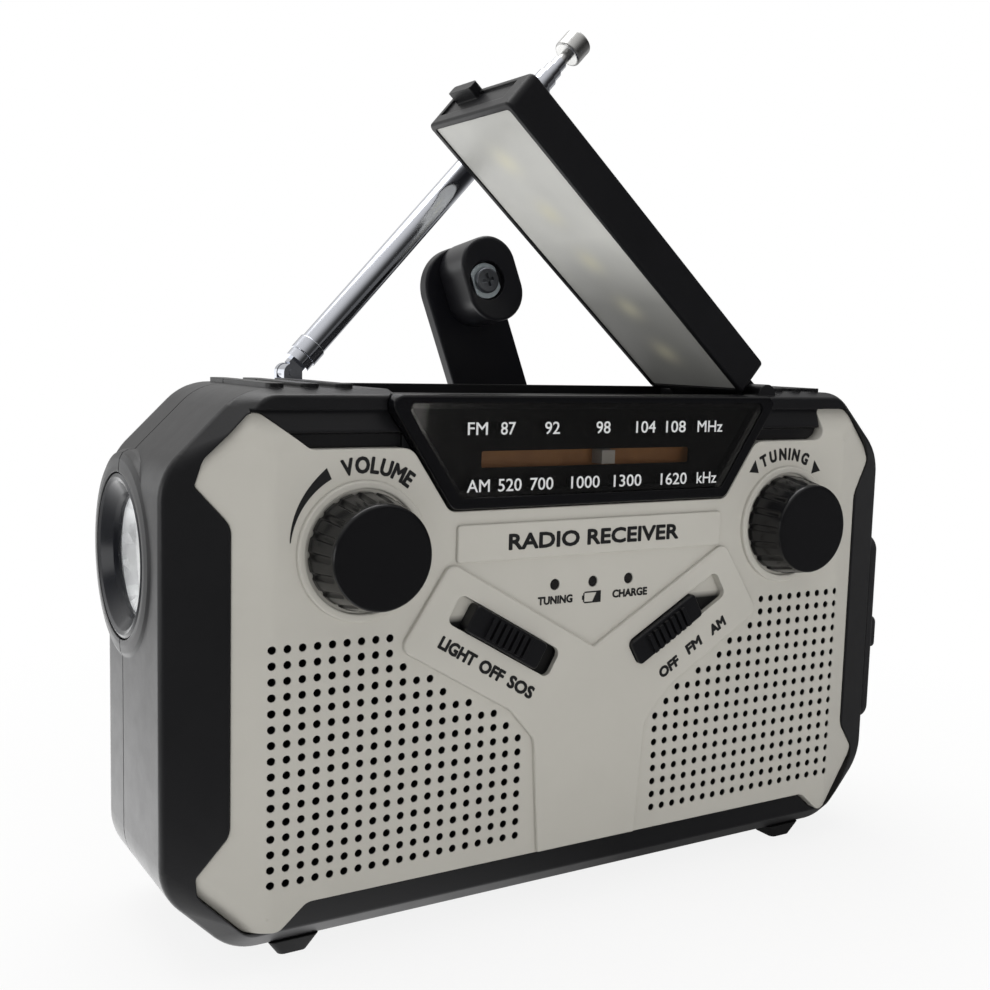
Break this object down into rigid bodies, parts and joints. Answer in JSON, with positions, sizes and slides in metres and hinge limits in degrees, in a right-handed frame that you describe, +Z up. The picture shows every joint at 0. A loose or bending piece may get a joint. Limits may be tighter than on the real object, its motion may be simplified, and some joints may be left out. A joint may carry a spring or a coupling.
{
  "type": "emergency radio",
  "caption": "Portable hand-crank emergency radio with flip-up lamp and solar panel, side torch, telescopic antenna, tuning dial and slide switches.",
  "frame": {"origin": "on the plane the feet rest on, under the middle of the whole radio's box as it stands open, knobs and crank included", "axes": "+Z up; -Y is the front with the dial and speaker holes; +X to the right seen from the front, so the torch is on -X"},
  "size_m": [0.1878, 0.08, 0.1944],
  "materials": {
    "black_shell": "fine moulded texture",
    "bezel_plastic": "satin moulded",
    "dial_gloss": "polished",
    "clear_window": "polished clear plastic",
    "dial_print": "printed scale",
    "amber_strip": "translucent",
    "pointer_plastic": "satin",
    "foot_rubber": "matt",
    "screw_steel": "plated",
    "knob_plastic": "polished",
    "shaft_steel": "turned",
    "component_metal": "plain",
    "capacitor_body": "plain",
    "slider_plastic": "satin",
    "led_epoxy": "dark tinted",
    "circuit_board": "solder mask",
    "speaker_steel": "pressed",
    "magnet_ferrite": "sintered",
    "speaker_paper": "paper cone",
    "battery_wrap": "shrink wrap",
    "copper_wire": "enamelled",
    "torch_plastic": "satin gloss",
    "torch_clear": "clear",
    "reflector_chrome": "vacuum plated",
    "torch_led": "led board",
    "cover_rubber": "matt",
    "panel_plastic": "fine moulded texture",
    "frosted_diffuser": "frosted",
    "led_board_white": "white mask",
    "solar_silicon": "cell",
    "solar_clear": "resin",
    "antenna_chrome": "polished",
    "tip_steel": "satin plated",
    "crank_plastic": "satin",
    "grip_plastic": "satin gloss",
    "gear_plastic": "acetal",
    "washer_steel": "plated",
    "gear_plate_plastic": "moulded"
  },
  "bodies": {
    "case": {"front_shell": "black_shell", "rear_shell": "black_shell", "front_bezel": "bezel_plastic", "dial_frame": "dial_gloss", "dial_window": "clear_window", "dial_scale": "dial_print", "dial_strip": "amber_strip", "rubber_feet": "foot_rubber", "case_screws": "screw_steel", "volume_potentiometer": "component_metal", "tuning_capacitor": "capacitor_body", "slide_switches": "component_metal", "indicator_leds": "led_epoxy", "control_board": "circuit_board", "speaker_basket": "speaker_steel", "speaker_magnet": "magnet_ferrite", "speaker_cone": "speaker_paper", "main_board": "circuit_board", "battery_cell": "battery_wrap", "battery_door": "black_shell", "ferrite_rod": "magnet_ferrite", "ferrite_coil": "copper_wire", "torch_barrel": "torch_plastic", "torch_lens": "torch_clear", "torch_reflector": "reflector_chrome", "torch_led_board": "torch_led", "port_board": "circuit_board", "usb_ports": "component_metal", "panel_hinge_pin": "shaft_steel", "generator": "component_metal", "gear_plate": "gear_plate_plastic"},
    "pointer": {"tuning_pointer": "pointer_plastic"},
    "volume_control": {"volume_knob": "knob_plastic", "volume_shaft": "shaft_steel"},
    "tuning_control": {"tuning_knob": "knob_plastic", "tuning_shaft": "shaft_steel"},
    "light_slider": {"light_slider": "slider_plastic"},
    "band_slider": {"band_slider": "slider_plastic"},
    "port_cover": {"port_cover": "cover_rubber"},
    "panel": {"panel_housing": "panel_plastic", "panel_diffuser": "frosted_diffuser", "panel_led_board": "led_board_white", "solar_cell": "solar_silicon", "solar_cover": "solar_clear"},
    "antenna_base": {"antenna_swivel": "antenna_chrome"},
    "antenna_tube": {"antenna_base_tube": "antenna_chrome"},
    "antenna_s1": {"antenna_section_1": "antenna_chrome"},
    "antenna_s2": {"antenna_section_2": "antenna_chrome"},
    "antenna_s3": {"antenna_section_3": "antenna_chrome"},
    "antenna_s4": {"antenna_tip": "tip_steel"},
    "crank": {"crank_hub": "crank_plastic", "crank_gear": "gear_plastic", "crank_hinge_pin": "shaft_steel"},
    "crank_arm": {"crank_arm": "crank_plastic", "grip_washer": "washer_steel", "grip_screw": "screw_steel"},
    "crank_grip": {"crank_grip": "grip_plastic"},
    "intermediate": {"intermediate_gear": "gear_plastic"},
    "rotor": {"generator_rotor": "shaft_steel"}
  },
  "joints": [
    {"name": "panel_flip", "type": "hinge", "parent": "case", "child": "panel", "pos_m": [0.04765, -0.0107, 0.1093], "axis": [0, 1, 0], "range_deg": [-40.9, 49]},
    {"name": "volume_turn", "type": "hinge", "parent": "case", "child": "volume_control", "pos_m": [-0.05615, -0.0307, 0.07965], "axis": [0, 1, 0], "range_deg": [-150, 150]},
    {"name": "tuning_turn", "type": "hinge", "parent": "case", "child": "tuning_control", "pos_m": [0.05185, -0.0307, 0.07965], "axis": [0, 1, 0], "range_deg": [-300, 219.6]},
    {"name": "pointer_travel", "type": "slide", "parent": "case", "child": "pointer", "axis": [1, 0, 0], "range_m": [-0.0281, 0.0206]},
    {"name": "light_switch_slide", "type": "slide", "parent": "case", "child": "light_slider", "axis": [0.866, 0, -0.5], "range_m": [-0.004, 0.004]},
    {"name": "band_switch_slide", "type": "slide", "parent": "case", "child": "band_slider", "axis": [0.866, 0, 0.5], "range_m": [0, 0.008]},
    {"name": "port_cover_swing", "type": "hinge", "parent": "case", "child": "port_cover", "pos_m": [0.08895, -0.00605, 0.0498], "axis": [0, 0, 1], "range_deg": [0, 90]},
    {"name": "antenna_swivel_turn", "type": "hinge", "parent": "case", "child": "antenna_base", "pos_m": [-0.05335, 0.0143, 0.1119], "axis": [0, 0, 1], "range_deg": [0, 180]},
    {"name": "antenna_tilt", "type": "hinge", "parent": "antenna_base", "child": "antenna_tube", "pos_m": [-0.05335, 0.0143, 0.1119], "axis": [0, -1, 0], "range_deg": [-33, 42.5]},
    {"name": "antenna_extend_1", "type": "slide", "parent": "antenna_tube", "child": "antenna_s1", "axis": [0.6756, 0, 0.7373], "range_m": [0, 0.07]},
    {"name": "antenna_extend_2", "type": "slide", "parent": "antenna_s1", "child": "antenna_s2", "axis": [0.6756, 0, 0.7373], "range_m": [0, 0.07]},
    {"name": "antenna_extend_3", "type": "slide", "parent": "antenna_s2", "child": "antenna_s3", "axis": [0.6756, 0, 0.7373], "range_m": [0, 0.07]},
    {"name": "antenna_extend_4", "type": "slide", "parent": "antenna_s3", "child": "antenna_s4", "axis": [0.6756, 0, 0.7373], "range_m": [0, 0.07]},
    {"name": "crank_spin", "type": "hinge", "parent": "case", "child": "crank", "pos_m": [0.01935, 0.0193, 0.0762], "axis": [0, -1, 0], "continuous": true},
    {"name": "crank_fold", "type": "hinge", "parent": "crank", "child": "crank_arm", "pos_m": [0.01935, 0.0295, 0.0762], "axis": [-0.9563, 0, -0.2924], "range_deg": [-7, 173]},
    {"name": "crank_grip_spin", "type": "hinge", "parent": "crank_arm", "child": "crank_grip", "pos_m": [0.00194, 0.03681, 0.13315], "axis": [0.0356, 0.9925, -0.1165], "continuous": true},
    {"name": "intermediate_spin", "type": "hinge", "parent": "case", "child": "intermediate", "pos_m": [-0.00696, 0.0113, 0.06662], "axis": [0, -1, 0], "continuous": true},
    {"name": "rotor_spin", "type": "hinge", "parent": "case", "child": "rotor", "pos_m": [-0.02302, 0.0073, 0.05538], "axis": [0, -1, 0], "continuous": true}
  ],
  "couplings": [
    {"joint": "pointer_travel", "follows": "tuning_turn", "m_per_rad": 0.0053486},
    {"joint": "intermediate_spin", "follows": "crank_spin", "ratio": -3},
    {"joint": "rotor_spin", "follows": "crank_spin", "ratio": 7.5}
  ]
}
